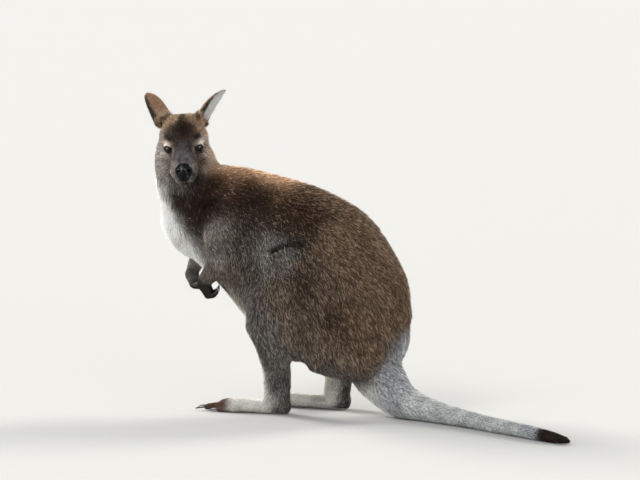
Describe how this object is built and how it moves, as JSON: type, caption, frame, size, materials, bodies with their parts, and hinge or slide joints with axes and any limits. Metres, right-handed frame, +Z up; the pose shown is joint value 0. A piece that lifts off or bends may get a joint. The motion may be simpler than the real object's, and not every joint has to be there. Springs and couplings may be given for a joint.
{
  "type": "wallaby",
  "caption": "Life-size still Bennett's wallaby sitting up on its hind feet and tail, forepaws held to the chest, head turned to its left.",
  "frame": {"origin": "floor level under the middle of the whole model's box", "axes": "+Z up, the body faces -X, its left side is towards -Y and its tail runs out to +X"},
  "size_m": [1.0284, 0.4092, 0.674],
  "materials": {
    "coat_back": "long soft grizzled brown fur",
    "coat_flank": "soft grizzled grey-brown fur",
    "coat_face": "short fur with pale cheek stripe and bare black nose",
    "coat_pale": "short pale grey fur",
    "coat_tail": "short silver-grey fur",
    "coat_dark": "short black-brown fur",
    "eye": "wet, glossy dark brown",
    "claw": "smooth black horn"
  },
  "bodies": {
    "root": {"neck": "coat_back", "abdomen": "coat_back", "rump": "coat_back", "thigh_left": "coat_back", "thigh_right": "coat_back", "ear_left": "coat_back", "ear_right": "coat_back", "chest": "coat_flank", "upper_arm_left": "coat_flank", "upper_arm_right": "coat_flank", "forearm_left": "coat_flank", "forearm_right": "coat_flank", "shank_left": "coat_flank", "shank_right": "coat_flank", "head": "coat_face", "foot_left": "coat_pale", "foot_right": "coat_pale", "tail_base": "coat_tail", "tail_middle": "coat_tail", "tail_tip": "coat_dark", "hand_left": "coat_dark", "hand_right": "coat_dark", "eye_left": "eye", "eye_right": "eye", "claw_hand_left_1": "claw", "claw_hand_left_2": "claw", "claw_hand_left_3": "claw", "claw_hand_left_4": "claw", "claw_hand_left_5": "claw", "claw_hand_right_1": "claw", "claw_hand_right_2": "claw", "claw_hand_right_3": "claw", "claw_hand_right_4": "claw", "claw_hand_right_5": "claw", "claw_foot_left_fourth": "claw", "claw_foot_left_fifth": "claw", "claw_foot_left_third": "claw", "claw_foot_left_second": "claw", "claw_foot_right_fourth": "claw", "claw_foot_right_fifth": "claw", "claw_foot_right_third": "claw", "claw_foot_right_second": "claw"}
  },
  "joints": []
}
